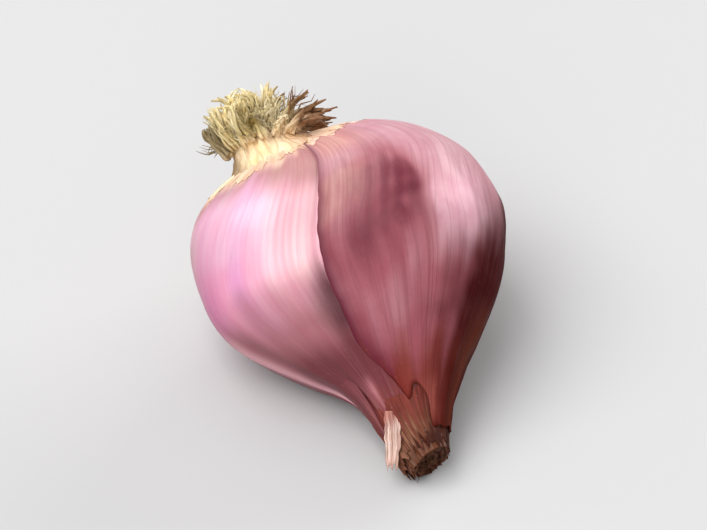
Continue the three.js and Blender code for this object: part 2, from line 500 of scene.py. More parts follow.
def makeGrainGroup():
    # lengthwise grain: soft bands, fine stripes, and thin veins where a stretched noise crosses
    # its middle value
    group, given, wanted = newGroup(
        "lengthwiseGrain",
        {"Growth": ("NodeSocketVector", None), "Stripes": ("NodeSocketFloat", 16.0),
         "Stretch": ("NodeSocketFloat", 2.0), "Vein Width": ("NodeSocketFloat", 0.05)},
        ["Bands", "Stripes", "Veins"])

    def stretchedNoise(share, detail, shift):
        # noise of the growth vector times a scale, which is larger round the bulb than along it
        across = calculate(group, "MULTIPLY", given.outputs["Stripes"], share)
        scale = addNode(group, "ShaderNodeCombineXYZ")
        feed(group, scale, X=across, Y=across, Z=given.outputs["Stretch"])
        spread = addNode(group, "ShaderNodeVectorMath", operation="MULTIPLY_ADD")
        feedInOrder(group, spread, given.outputs["Growth"], scale.outputs[0],
                    (shift, shift * 0.7, shift * 1.3))
        noise = addNode(group, "ShaderNodeTexNoise")
        feed(group, noise, Vector=spread.outputs[0], Scale=1.0, Detail=detail, Roughness=0.55)
        return noise.outputs["Fac"]

    bands = stretchedNoise(0.2, 2.0, 3.0)
    stripes = stretchedNoise(1.0, 2.0, 11.0)
    veins = stretchedNoise(0.55, 1.0, 23.0)
    offMiddle = calculate(group, "ABSOLUTE", calculate(group, "SUBTRACT", veins, 0.5))
    thin = calculate(group, "DIVIDE", offMiddle, given.outputs["Vein Width"], limit=True)
    feed(group, wanted, Bands=bands, Stripes=stripes, Veins=calculate(group, "SUBTRACT", 1.0, thin))
    return group


def makeMottleGroup():
    # crumpled patches and small pale or dark flecks, read from the object's own coordinates
    group, given, wanted = newGroup(
        "mottle",
        {"Place": ("NodeSocketVector", None), "Patch Size": ("NodeSocketFloat", 200.0),
         "Fleck Size": ("NodeSocketFloat", 900.0), "Crumple Size": ("NodeSocketFloat", 1400.0)},
        ["Patches", "Flecks", "Crumple"])
    place = given.outputs["Place"]
    patches = addNode(group, "ShaderNodeTexNoise")
    feed(group, patches, Vector=place, Scale=given.outputs["Patch Size"], Detail=4.0, Roughness=0.6)
    cells = addNode(group, "ShaderNodeTexVoronoi")
    feed(group, cells, Vector=place, Scale=given.outputs["Fleck Size"])
    fleckRadius = 0.16  # of a cell's own size
    flecks = calculate(group, "LESS_THAN", cells.outputs["Distance"], fleckRadius)
    crumple = addNode(group, "ShaderNodeTexNoise")
    feed(group, crumple, Vector=place, Scale=given.outputs["Crumple Size"], Detail=3.0, Roughness=0.6)
    feed(group, wanted, Patches=patches.outputs["Fac"], Flecks=flecks, Crumple=crumple.outputs["Fac"])
    return group


grainGroup = makeGrainGroup()
mottleGroup = makeMottleGroup()

# the shares say how strongly each effect of the grain and the mottle darkens or tints the skin
finishes = {
    "glossySkin": {
        "stripes": 22.0, "stretch": 2.2, "veinWidth": 0.035, "patchSize": 260.0,
        "bandShare": 0.35, "stripeShare": 0.25, "veinShare": 0.14, "patchShare": 0.15,
        "fleckShare": 0.015,
        "grainColour": (0.46, 0.25, 0.34, 1), "veinColour": (0.42, 0.13, 0.22, 1),
        "fleckColour": (0.86, 0.66, 0.62, 1),
        "smooth": 0.4, "rough": 0.5, "bumpHeight": 0.02,
        "specular": 0.28, "coat": 0.9, "coatRoughness": 0.36,
    },
    "paperySkin": {
        "stripes": 26.0, "stretch": 2.0, "veinWidth": 0.05, "patchSize": 300.0,
        "bandShare": 0.5, "stripeShare": 0.35, "veinShare": 0.25, "patchShare": 0.4,
        "fleckShare": 0.02,
        "grainColour": (0.38, 0.27, 0.3, 1), "veinColour": (0.2, 0.06, 0.07, 1),
        "fleckColour": (0.62, 0.36, 0.3, 1),
        "smooth": 0.44, "rough": 0.58, "bumpHeight": 0.035,
        "specular": 0.01, "coat": 0.55, "coatRoughness": 0.4,
    },
    "drySheath": {
        "stripes": 30.0, "stretch": 3.0, "veinWidth": 0.07, "patchSize": 500.0,
        "bandShare": 0.5, "stripeShare": 0.6, "veinShare": 0.6, "patchShare": 0.4,
        "fleckShare": 0.06,
        "grainColour": (0.24, 0.12, 0.08, 1), "veinColour": (0.1, 0.04, 0.03, 1),
        "fleckColour": (0.7, 0.5, 0.36, 1),
        "smooth": 0.55, "rough": 0.78, "bumpHeight": 0.09,
        "specular": 0.15, "coat": 0.0, "coatRoughness": 0.4,
    },
    "dryRoots": {
        "stripes": 9.0, "stretch": 4.0, "veinWidth": 0.08, "patchSize": 700.0,
        "bandShare": 0.3, "stripeShare": 0.35, "veinShare": 0.35, "patchShare": 0.35,
        "fleckShare": 0.25,
        "grainColour": (0.44, 0.34, 0.16, 1), "veinColour": (0.24, 0.16, 0.06, 1),
        "fleckColour": (0.85, 0.74, 0.5, 1),
        "smooth": 0.6, "rough": 0.85, "bumpHeight": 0.1,
        "specular": 0.3, "coat": 0.0, "coatRoughness": 0.5,
    },
}


def makeSkinMaterial(name):
    # the painted colour, darkened along bands, stripes and veins, with flecks, and a roughness and
    # a fine bump that follow the same grain
    finish = finishes[name]
    material = bpy.data.materials.new(name)
    material.use_nodes = True
    tree = material.node_tree
    shader = tree.nodes["Principled BSDF"]
    tint = addNode(tree, "ShaderNodeAttribute", attribute_name="skinTint").outputs["Color"]
    growth = addNode(tree, "ShaderNodeAttribute", attribute_name="growth").outputs["Vector"]
    place = addNode(tree, "ShaderNodeTexCoord").outputs["Object"]
    grain = addNode(tree, "ShaderNodeGroup", node_tree=grainGroup)
    feed(tree, grain, Growth=growth, Stripes=finish["stripes"], Stretch=finish["stretch"],
         Vein_Width=finish["veinWidth"])
    mottle = addNode(tree, "ShaderNodeGroup", node_tree=mottleGroup)
    feed(tree, mottle, Place=place, Patch_Size=finish["patchSize"])

    def contrast(source, low, high, least, most):
        # the part of a noise between low and high, spread out from least to most
        spread = addNode(tree, "ShaderNodeMapRange", clamp=True)
        feed(tree, spread, Value=source, From_Min=low, From_Max=high, To_Min=least, To_Max=most)
        return spread.outputs[0]

    bands = contrast(grain.outputs["Bands"], 0.4, 0.7, 0.0, finish["bandShare"])
    stripes = contrast(grain.outputs["Stripes"], 0.42, 0.72, 0.0, finish["stripeShare"])
    veins = calculate(tree, "MULTIPLY", grain.outputs["Veins"], finish["veinShare"])
    patches = contrast(mottle.outputs["Patches"], 0.45, 0.7, 0.0, finish["patchShare"])
    flecks = calculate(tree, "MULTIPLY", mottle.outputs["Flecks"], finish["fleckShare"])
    darker = blendColours(tree, "MULTIPLY", 1.0, tint, finish["grainColour"])
    lifted = blendColours(tree, "ADD", 1.0, darker, darker)
    veinTint = blendColours(tree, "MIX", 0.5, darker, finish["veinColour"])
    colour = tint
    for share, coat in ((bands, lifted), (stripes, lifted), (veins, veinTint), (patches, lifted),
                        (flecks, finish["fleckColour"])):
        colour = blendColours(tree, "MIX", share, colour, coat)
    roughness = contrast(mottle.outputs["Patches"], 0.3, 0.7, finish["smooth"], finish["rough"])
    ridges = calculate(tree, "ADD", grain.outputs["Stripes"], grain.outputs["Veins"])
    height = calculate(tree, "ADD", ridges, mottle.outputs["Crumple"])
    ridgeBump = addNode(tree, "ShaderNodeBump")
    feed(tree, ridgeBump, Height=height, Strength=0.7, Distance=finish["bumpHeight"] * millimetre)
    feed(tree, shader, Base_Color=colour, Roughness=roughness, Normal=ridgeBump.outputs[0],
         Specular_IOR_Level=finish["specular"], Coat_Roughness=finish["coatRoughness"])
    if finish["coat"]:
        gloss = addNode(tree, "ShaderNodeAttribute", attribute_name="gloss").outputs["Fac"]
        feed(tree, shader, Coat_Weight=calculate(tree, "MULTIPLY", gloss, finish["coat"]))
    return material


materials = {name: makeSkinMaterial(name) for name in finishes}
print("made materials:", ", ".join(materials))


# the bulb's own glossy skin

bulbSkin = {
    "rows": 240,
    "columns": 352,
    "gather": 0.25,  # how much closer together the rows lie at the root plate
    "plateRings": (0.25, 0.5, 0.75, 0.9),  # the rings under the root plate, as shares of its radius
    # the layers that show in the broken tip: how far in each ring lies, and its share of the width
    "tipRings": ((0.3, 0.93), (0.9, 0.85), (0.1, 0.76), (0.2, 0.71), (1.0, 0.62), (0.2, 0.5),
                 (0.3, 0.45), (1.1, 0.34), (0.5, 0.2), (0.6, 0.12)),
    "tipFloor": 0.8,
    "tipWander": 0.22,
    "pressed": 0.14,  # how far it keeps off the table under the outer skin of the main lobe
    "pink": screen(220, 158, 172),
    "lilac": screen(204, 150, 189),
    "mauve": screen(150, 90, 94),
    "peachHighlight": screen(232, 202, 195),
    "orchid": screen(188, 102, 146),
    "tailPink": screen(178, 116, 120),
    "paintedBouncePink": screen(218, 166, 170),
    "wine": screen(96, 42, 46),
    "mainLobe": screen(140, 72, 80),
    "grooveShade": screen(66, 12, 20),
    "cream": screen(236, 208, 178),
    "shoulder": screen(166, 125, 117),
    "frostHighlight": screen(214, 190, 202),
    "neckRed": screen(114, 54, 46),
    "neckTan": screen(104, 68, 48),
    "tipBrown": screen(92, 54, 28),
    "tipHollowShade": screen(38, 17, 8),
    # spots: height, pull of the streaks, angle and its spread, distance and its spread
    "farSpots": ((0.85, 0, 168, 24, 15, 6.5),),
    "frostHighlightSpots": ((0.62, 2, 149, 15, 7.8, 4.0),),
    "orchidSpots": ((0.25, 0, 158, 10, 10.5, 3),),
    # bands: height, angle and its spread, and the distances of their start, full, fade and end
    "creaseHighlightBand": (0.6, 104, 18, 4, 8, 17.5, 21.5),
    "frostHighlightBand": (0.5, 156, 20, -1, 0, 4, 7),
    "tailBand": (0.75, 107, 8, 31, 33.5, 35.5, 38),
    "paintedBounceBand": (0.85, 180, 10, 18, 21, 37, 40),
    # how much later, or sooner where below 0, a colour comes in round the bulb: the height, angle
    # and spread of each bell
    "mauveLate": ((1, 100, 16), (1, 260, 16), (1.3, 130, 12), (0.9, 152, 14)),
    "wineLate": ((1, 100, 16), (1, 260, 16), (1.3, 130, 12), (-3.4, 154, 9), (1.8, 113, 14)),
    "shoulderSoon": ((3.4, 172, 32), (2, 143, 12), (-1.2, 100, 12)),
    "creamSoon": ((1.02, 172, 32), (0.6, 143, 12), (-0.36, 100, 12), (1.4, 103, 16)),
    # the distances where a colour starts to come in, or to go out, and where it has done so
    "mauveRise": (15.5, 21.8),
    "wineRise": (21, 29.5),
    "shoulderFade": (3.4, 8.4),
    "creamFade": (1.2, 3.2),
    "neckRedRise": (32, 36.5),
    "neckTanRise": (37, 41),
    "tipBrownRise": (-2.2, -0.6),  # from the tip of the growth line
    # the painted shade in the groove: from little to full down the lobes, and out again to the neck
    "grooveAngle": 95,
    "grooveRise": (15, 21.5),
    "grooveFade": (25, 28.5),
    "rimPlace": (192, 21),  # the small lobe's far rim, darkened to mauve as painted shade, as an angle and its spread
}


def grooveShare(distance, degrees):
    # a bell across the groove, which is broadest low on the lobes
    breadth = 4.5 - 2 * ease(distance, 7, 11) + 2 * ease(distance, 14, 26)
    breadth = breadth + 9 * bump(distance, 24, 4.5)
    return bump(np.abs(degrees), bulbSkin["grooveAngle"], breadth)


def bulbTints(distance, angle, points):
    # lilac-pink on the small lobe and wine on the main one, cream at the root plate, and red, tan and
    # brown in turn along the neck; painted shade in the groove and on the small lobe's far rim, mauve
    # and wine low down that are partly the skin's own colour and partly painted shade, pale peach
    # and frost lightened as painted highlights, and painted light thrown back from the table on the
    # small lobe's underside
    look = bulbSkin
    degrees = np.degrees(wrap(angle))
    around = np.degrees(angle % fullTurn)
    blotch = softNoise(points, 9, 31)
    streak = ripple(angle, distance, 9, 26, 0.6, 33)
    tints = plain(look["pink"], distance)
    lilac = clamp(0.35 + 0.35 * streak) * ease(-np.cos(angle), 0.1, 0.8)
    tints = towards(tints, look["lilac"], lilac)
    # painted highlight: a pale peach near the crease, the skin's own tone lightened where the highlight
    # falls
    tints = towards(tints, look["peachHighlight"], band(look["creaseHighlightBand"], degrees, distance))
    tints = towards(tints, look["orchid"], spots(look["farSpots"], around, streak, distance))
    # painted highlight: a pale lilac-white bloom on the small lobe's upper side and near the root
    # plate, lightened where the highlight falls
    frostHighlight = spots(look["frostHighlightSpots"], around, streak, distance + blotch)
    tints = towards(tints, look["frostHighlight"], frostHighlight)
    tints = towards(tints, look["frostHighlight"], band(look["frostHighlightBand"], around, distance))
    tints = towards(tints, look["orchid"], spots(look["orchidSpots"], around, streak, distance))
    tints = towards(tints, look["mainLobe"], ease(np.cos(angle), 0.02, 0.14))
    # mauve and then wine towards the neck: partly the skin's own colour, partly painted shade low on
    # the lobes
    drift = distance + 1.3 * blotch + 0.9 * streak
    mauve = ease(drift - bumps(around, look["mauveLate"]), *look["mauveRise"])
    tints = towards(tints, look["mauve"], 0.9 * mauve)
    wine = ease(drift - bumps(around, look["wineLate"]), *look["wineRise"])
    tints = towards(tints, look["wine"], 0.92 * wine)
    tints = towards(tints, look["tailPink"], band(look["tailBand"], degrees, distance))
    # painted shade down the groove between the lobes
    paintedShade = mix(0.12, 0.92, ease(distance, *look["grooveRise"]))
    paintedShade = paintedShade * (1 - 0.9 * ease(distance, *look["grooveFade"])) + 0.4 * (1 - ease(distance, 5, 8.5))
    paintedShade = paintedShade * grooveShare(distance, degrees) * ease(distance, 1.5, 4)
    tints = towards(tints, look["grooveShade"], paintedShade)
    # painted shade: mauve on the small lobe's far, lower rim
    rim = bump(around, *look["rimPlace"]) * ease(distance, 3, 8) * (1 - 0.7 * ease(distance, 17, 20))
    tints = towards(tints, look["mauve"], 0.7 * rim)
    # painted light thrown back from the table: a paler pink on the small lobe's underside
    tints = towards(tints, look["paintedBouncePink"], band(look["paintedBounceBand"], around, distance))
    nearRoot = distance + 0.35 * streak + 0.35 * blotch
    shoulder = ease(nearRoot + bumps(around, look["shoulderSoon"]), *look["shoulderFade"])
    tints = towards(tints, look["shoulder"], 0.88 * (1 - shoulder))
    cream = ease(nearRoot + bumps(around, look["creamSoon"]), *look["creamFade"])
    tints = towards(tints, look["cream"], 1 - cream)
    nearNeck = distance + 0.8 * streak
    tints = towards(tints, look["neckRed"], 0.72 * ease(nearNeck, *look["neckRedRise"]))
    tints = towards(tints, look["neckTan"], ease(nearNeck, *look["neckTanRise"]))
    brown = ease(nearNeck - growthLength, *look["tipBrownRise"])
    return towards(tints, look["tipBrown"], brown)


def makeBulbSkin():
    # rows from the root plate to the tip, closer together at the root plate, then the rows of the
    # tip's hollow, with a pole in the middle of each end
    look = bulbSkin
    share = np.linspace(0, 1, look["rows"])
    rowDistance = growthLength * mix(share, share**2, look["gather"])
    depth, ringScale = np.array(look["tipRings"]).T
    plateScale = np.array(look["plateRings"])
    distance = np.concatenate([0 * plateScale, rowDistance, growthLength - depth])
    scale = np.concatenate([plateScale, np.ones(look["rows"]), ringScale])[:, None]
    inside = (np.arange(len(distance)) >= len(distance) - len(depth))[:, None]
    angle = np.linspace(0, fullTurn, look["columns"], endpoint=False)
    distance, angle = np.meshgrid(distance, angle, indexing="ij")
    distance = distance + look["tipWander"] * ripple(angle, 9 * scale, 3, 11, 0.9, 91) * inside
    scale = scale * (1 - neckClosing(distance, angle))
    pressed = look["pressed"] * ease(np.cos(angle), 0, 0.3)
    points = skinAt(distance, angle, scale=scale, pressed=pressed)
    tints = bulbTints(distance, angle, points)
    # painted shade inside the broken tip: near black deep in its hollow, turning to brown towards its
    # edge
    layers = clamp(0.5 + 1.2 * (distance - growthLength + 0.6))
    shadedHollow = towards(plain(look["tipHollowShade"], distance), look["tipBrown"], layers)
    tints = np.where(inside[..., None], shadedHollow, tints)
    gloss = ease(points[..., 2], 9, 17) * (1 - ease(distance, 21, 30)) * ease(distance, 2, 7)
    gloss = gloss * (1 - 0.85 * bump(np.degrees(angle), 94, 12)) * ease(-np.cos(angle), -0.1, 0.06)
    rootPole = frameAt(np.array([0.0]))[0]
    tipPole = frameAt(np.array([growthLength - look["tipFloor"]]))[0]
    return makePiece(
        "bulbSkin", withPoles(points, rootPole, tipPole), cappedFaces(*distance.shape),
        withPoles(tints, look["cream"], look["tipHollowShade"]),
        withPoles(growthVector(distance, angle), [0, 0, 0], [0, 0, 1]), "glossySkin",
        np.append(gloss, [0, 0]))


bulbPiece = makeBulbSkin()
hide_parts("bulb")


# the papery outer skin of the main lobe

outerSkin = {
    "rows": 180,
    "columns": 230,
    "thickness": 0.05,
    "start": 1.6,
    "creaseAngle": 93,  # its upper edge, which follows the crease
    "pointAngle": 64,  # where that edge comes to a torn point on the neck
    "pointTurn": (27, 38.5),  # where the edge leaves the crease and where it reaches that angle
    "point": 36.7,
    "farEnd": -2.6,  # where it ends beyond the point, from the tip of the growth line
    "lowerEnd": 36.5,
    "lowerAngle": -128,
    "lift": 0.08,
    "edgeLift": 0.07,
    "neckLift": 0.09,  # how much further it stands off the sheath round the neck
    "bubbles": 0.22,
    "mauve": screen(151, 88, 95),
    "tan": screen(179, 135, 129),
    "rootPeach": screen(198, 150, 138),
    "wine": screen(90, 32, 47),
    "rose": screen(190, 146, 153),
    # blush is the paler pink of the painted highlight on the rose back
    "blush": screen(222, 174, 186),
    "brownRed": screen(114, 52, 42),
    "paintedShadeRed": screen(64, 13, 14),
    "neckBrown": screen(74, 30, 18),
    "outline": screen(70, 18, 10),
    "neckPink": screen(142, 78, 68),
    "rimBrown": screen(104, 60, 46),
    "pale": screen(206, 156, 142),
    "patchSide": 46.3,  # the angle of the wine patch's sharp side
    "patchLean": 12,  # how much further round it is near the root plate, and where that ends
    "patchLeanFade": (5, 14),
    "patchEnd": (64, 84),  # the angles over which the patch runs out towards the crease
    "deepest": (13.2, 3.4),  # the distance of its darkest place, and how far that spreads
    "shadeFrom": 10,  # the angle where the painted shade of the far side begins, near the root plate and low down
    "shadeTo": 36,
    "shadeTurn": (17, 28),
    "shadeFade": (0, 36),  # over how many degrees it gets dark
    "copperAngles": (20, 60),  # how far round the back the copper shoulder begins and is full
    "tanStripe": (81, 12),  # an angle and its spread
    "rimPlace": (4, 14),
    # the distances where a colour starts to come in, or to go out, and where it has done so
    "tanRise": (2, 5),
    "tanFade": (12, 17),
    "rootRoseFade": (4.5, 8.5),
    "roseFade": (20, 25.5),
    "patchRise": (7.2, 10.8),
    "patchFade": (17, 22),
    "peachFade": (3, 6),
    "brownRedRise": (29, 35),
    "neckBrownRise": (38.5, 41),
    "copperFade": (6, 13),
    "bandsRise": (2.5, 8),
    "rimRise": (27, 32),
    # spots: height, pull of the streaks, angle and its spread, distance and its spread
    "paintedHighlightSpots": ((0.75, 1, 29, 12, 17.5, 4.5),),
    "roseHighlightSpots": ((0.455, 4, 51, 5, 22.5, 3), (0.28, 3, 71, 8, 27, 3)),
    "veinSpots": ((0.5, 3, 69, 6, 18.3, 3.2), (0.3, 2, 64, 5, 14.5, 3)),
    # bands: height, angle and its spread, and the distances of their start, full, fade and end
    "neckPinkBand": (0.8, 47, 12, 34.5, 37, 38, 41),
}


def makeOuterSkin():
    # a sheet from the crease round the main lobe to its torn lower edge, from the root plate to
    # the neck, where its upper edge runs out in a torn point
    look = outerSkin
    along, rim = gridOf(look, 0, 1)
    turn = np.radians(mix(look["creaseAngle"], look["lowerAngle"], rim))
    ragged = 0.45 * ripple(turn, 0, 4, 22, 0, 56) + 0.3 * ripple(turn, 0, 30, 75, 0, 57)
    tears = 1.3 * clamp(ripple(turn, 0, 3, 12, 0, 58) - 0.6) * ease(rim, 0.3, 0.45)
    start = look["start"] + 0.5 * ragged + tears + 0.9 * bump(rim, 0.55, 0.14)
    neckEnd = look["point"] - 1.3 * bump(rim, 0.07, 0.035)
    neckEnd = mix(neckEnd, growthLength + look["farEnd"], ease(rim, 0.085, 0.15))
    neckEnd = mix(neckEnd, look["lowerEnd"], ease(rim, 0.6, 0.85))
    neckEnd = neckEnd + 0.4 * ragged * ease(rim, 0.15, 0.25)
    distance = mix(start, neckEnd, along)
    upper = mix(look["creaseAngle"], look["pointAngle"], ease(distance, *look["pointTurn"]))
    upper = upper - 2 * bump(distance, 15.5, 4) + 0.5 * np.cos(distance * 0.9)
    upper = upper + 0.25 * np.cos(distance * 2.3) + 8 * ease(distance, 37.5, 41)
    lower = look["lowerAngle"] + 7 * np.cos(distance * 0.33) + 2.5 * np.cos(distance * 0.9 + 1)
    lower = lower + 0.7 * np.cos(distance * 2.3)
    degrees = mix(upper, lower, rim)
    angle = np.radians(degrees)
    # about how far it is to the nearer long edge, in degrees, and to the nearer end
    edge = np.minimum(rim * 180, (1 - rim) * 220)
    endEdge = np.minimum((neckEnd - distance) * 1.3, (distance - start) * 2)
    bubbles = look["bubbles"] * clamp(0.5 + 0.5 * softNoise(bareSkin(distance, angle), 7, 41))
    curl = look["edgeLift"] * (bump(edge, 0, 3) + 0.7 * bump(endEdge, 0, 1))
    lift = look["lift"] + bubbles * ease(distance, 3, 9) * clamp(edge / 8)
    lift = lift + curl * (1 - 0.8 * ease(distance, 28, 34)) + look["neckLift"] * ease(distance, 33, 36)
    points = skinAt(distance, angle, lift=lift)
    tints = outerTints(distance, degrees, points, upper, edge, endEdge)
    gloss = mix(0.3, 1, ease(-degrees, -54, -40)) * (1 - ease(distance, 18, 25))
    gloss = gloss * ease(points[..., 2], 6, 14)
    gloss = gloss * np.maximum(ease(degrees, 12, 30), 0.4 * ease(-degrees, 10, 40))
    return makeSheet("outerSkin", look, points, tints, growthVector(distance, angle), "paperySkin",
                     gloss=gloss)


def outerTints(distance, degrees, points, upper, edge, endEdge):
    # mauve all over, a tan stripe down the crease, a wine patch on top with a sharp side, rose
    # from there round to the back, lightened as a painted highlight, dark red painted shade at the
    # far side, painted shade down the crease, and brown-red at the neck
    look = outerSkin
    angle = np.radians(degrees)
    blotch = softNoise(points, 8, 51)
    fine = softNoise(points, 3, 52)
    streak = ripple(angle, distance, 12, 34, 0.7, 53)
    hairs = ripple(angle, distance, 40, 72, 0.5, 54)
    tints = plain(look["mauve"], distance)
    tints = towards(tints, look["rose"], clamp(0.14 * blotch + 0.08 * streak))
    tan = bump(degrees + 2 * streak, *look["tanStripe"]) * ease(distance, *look["tanRise"])
    tan = tan * (1 - ease(distance + blotch, *look["tanFade"])) * (1.0 + 0.3 * fine)
    tints = towards(tints, look["tan"], clamp(tan))
    # rose near the root plate: paler skin, lightened along the top rim as a painted reflection
    rootRose = 1 - ease(distance + 0.8 * blotch, *look["rootRoseFade"])
    tints = towards(tints, look["rose"], 0.85 * rootRose)
    # the rose back, which starts at the sharp side of the wine patch: a paler skin tone, lightened as a
    # painted highlight
    side = look["patchSide"] + look["patchLean"] * (1 - ease(distance, *look["patchLeanFade"]))
    side = side + 0.7 * streak + 0.4 * hairs
    toNeck = 1 - ease(distance + 1.2 * streak + 0.5 * hairs, *look["roseFade"])
    back = ease(side - degrees, -1.5, 8.5 - 3 * bump(distance, 15.5, 2)) * toNeck
    tints = towards(tints, look["rose"], clamp(0.95 * back))
    # painted highlight: a paler blush on the rose back
    paintedHighlight = spots(look["paintedHighlightSpots"], degrees, streak, distance) * back
    tints = towards(tints, look["blush"], clamp(paintedHighlight))
    # rose spots lower on the back, which carry the painted highlight further down
    tints = towards(tints, look["rose"], clamp(spots(look["roseHighlightSpots"], degrees, streak, distance)))
    # the wine patch, its darkest place and the veins below it
    patch = ease(degrees - side, -2, 1.5) * (1 - ease(degrees + 2 * streak, *look["patchEnd"]))
    patch = patch * ease(distance + 0.6 * blotch + 0.4 * hairs, *look["patchRise"])
    patch = patch * clamp(0.85 + 0.25 * fine + 0.18 * hairs)
    shaded = patch * (1 - ease(distance, *look["patchFade"]))
    tints = towards(tints, look["wine"], clamp(0.42 * shaded))
    deepest = bump(distance + 0.6 * blotch, *look["deepest"]) * bump(degrees - side, 4, 9)
    tints = towards(tints, look["wine"], clamp(0.95 * patch * deepest))
    low = ease(distance + blotch, 13, 16.5) * (1 - ease(distance, 20.5, 24)) * ease(degrees, 58, 68)
    tints = towards(tints, look["wine"], 0.18 * low)
    tints = towards(tints, look["wine"], clamp(spots(look["veinSpots"], degrees, streak, distance)))
    # the painted shade down the crease, the peach shoulder and the red of the neck
    creaseShade = bump(degrees, upper, mix(5, 9, ease(distance, 14, 26)) + 5 * bump(distance, 30, 3))
    tints = towards(tints, look["wine"], mix(0.5, 0.9, ease(distance, 7, 16)) * creaseShade)
    shoulder = ease(degrees, 52, 74) * (1 - ease(distance, *look["peachFade"])) * (1 - creaseShade)
    tints = towards(tints, look["rootPeach"], 0.8 * shoulder)
    neckRed = ease(distance + 1.5 * streak, *look["brownRedRise"])
    tints = towards(tints, look["brownRed"], 0.9 * neckRed)
    # the painted shade of the far side, which has its sharp start in front and ends in long streaks
    # behind
    bands = clamp(0.45 + 0.55 * ripple(angle, distance, 5, 14, 0.5, 55) + 0.15 * hairs)
    half = mix(look["shadeFrom"], look["shadeTo"], ease(distance, *look["shadeTurn"]))
    half = half - 8 * ease(distance, 29, 34)
    wander = 3 * streak + 2 * blotch + 1.2 * hairs + 1.5 * fine
    behind = ease(-degrees, 0, 45)
    reach = distance + 1.2 * streak + 4 * bands + behind * (3.5 * streak + 1.5 * hairs)
    dark = ease(half + 18 + wander - degrees, *look["shadeFade"])
    dark = dark * ease(reach - mix(14.7, 10, behind), 0, mix(6, 15, behind))
    dark = dark * (1 - 0.85 * ease(8 * streak - degrees, 6, 62))
    copper = ease(-degrees, *look["copperAngles"]) * (1 - ease(distance, *look["copperFade"]))
    copper = copper * clamp(0.35 + 0.5 * blotch + 0.3 * fine)
    tints = towards(tints, look["tan"], 0.6 * copper)
    bands = bands * ease(-degrees, -6, 24) * ease(distance + 1.5 * streak, *look["bandsRise"])
    tints = towards(tints, look["wine"], 0.8 * bands)
    tints = towards(tints, look["paintedShadeRed"], clamp(0.96 * dark))
    # the neck, and the torn edges
    neckBrown = ease(distance + 0.8 * streak, *look["neckBrownRise"])
    tints = towards(tints, look["neckBrown"], 0.8 * neckBrown)
    rim = bump(degrees, *look["rimPlace"]) * ease(distance, *look["rimRise"])
    tints = towards(tints, look["rimBrown"], 0.65 * rim)
    front = band(look["neckPinkBand"], degrees + 3 * streak, distance)
    tints = towards(tints, look["neckPink"], front)
    outline = bump(np.minimum(edge, endEdge * 2.2), 0, 1.3) * ease(distance, 31.5, 34)
    tints = towards(tints, look["outline"], 0.75 * outline * ease(degrees, 30, 50))
    torn = bump(np.minimum(edge, endEdge * 2), 0, 1.2) * ease(-degrees, -80, -70)
    return towards(tints, look["pale"], 0.4 * torn * (1 - ease(distance, 26, 33)))


outerPiece = makeOuterSkin()


# the dry layers of the neck

neckSheath = {
    "rows": 60,
    "columns": 150,
    "thickness": 0.09,
    "start": 35.4,
    "startRagged": 0.6,
    "end": -0.6,  # how far it runs past the bulb's own tip; below 0 it stops short of it
    "endRagged": 0.55,
    "endStep": 1.0,  # how much shorter it is on the side of the neck strip
    "stepAngle": 2.0,  # where that side is, and how far it spreads, in radians
    "stepSpread": 0.8,
    "width": 1.0,  # the share of the neck's own width
    "lift": 0.1,
    "tucked": 0.3,  # how much lower it lies where the outer skin goes over it
    "tuckedAngle": -0.66,  # the middle of that part, in radians
    "flare": 0.85,  # how far it opens out at its end, on the small lobe's side
    "red": screen(128, 64, 56),
    "tan": screen(120, 76, 58),
    "straw": screen(152, 116, 92),
    "brown": screen(70, 28, 4),
    "shade": screen(58, 20, 10),  # down the side towards the main lobe
    # the distances where a colour starts to come in and where it is full
    "tanRise": (37, 40.5),
    "strawRise": (38.5, 41.5),
    "brownRise": (-1.8, -0.6),  # from the tip of the growth line
}

innerSheath = dict(neckSheath, rows=30, columns=120, start=38, startRagged=0, end=-0.1,
                   endRagged=0.4, width=0.72, lift=0.0)


def makeSheath(name, look, seed):
    # a tube of dry skin round the neck: the bulb's own skin there at a share of its width, lifted
    # off it, torn at both ends by ripples round it, and pinched together at the last
    along, angle = gridOf(look, 0, fullTurn, closed=True)
    start = look["start"] + look["startRagged"] * ripple(angle, 0, 4, 24, 0, seed)
    end = growthLength + look["end"] + look["endRagged"] * ripple(angle, 0, 6, 34, 0, seed + 1)
    end = end - look["endStep"] * bump(wrap(angle - look["stepAngle"]), 0, look["stepSpread"])
    distance = mix(start, end, along)
    lift = mix(0.02, look["lift"], ease(along, 0, 0.2))
    lift = lift + 0.08 * ripple(angle, distance, 4, 9, 0.6, seed)
    covered = ease(np.cos(angle - look["tuckedAngle"]), 0.15, 0.4) * (1 - ease(distance, 39.5, 41))
    openSide = bump(wrap(angle - math.pi), 0.1, 0.9) * ease(distance, 37.5, growthLength)
    lift = lift - look["tucked"] * covered + look["flare"] * openSide
    scale = look["width"] * (1 - neckClosing(distance, angle))
    points = skinAt(distance, angle, lift=lift, scale=scale)
    streak = ripple(angle, distance, 14, 40, 0.5, seed + 3)
    near = distance + 0.8 * streak
    tints = plain(look["red"], distance)
    tints = towards(tints, look["tan"], ease(near, *look["tanRise"]))
    pale = clamp(0.2 + 0.4 * streak + 0.5 * bump(angle, 1.6, 0.4))
    tints = towards(tints, look["straw"], pale * ease(near, *look["strawRise"]))
    tints = towards(tints, look["shade"], 0.9 * ease(np.cos(angle - 0.1), 0.6, 0.95))
    pastEnd = near + 1.8 * np.cos(angle - 0.25) - growthLength
    tints = towards(tints, look["brown"], ease(pastEnd, *look["brownRise"]))
    return makeSheet(name, look, points, tints, growthVector(distance, angle), "drySheath",
                     closed=True)


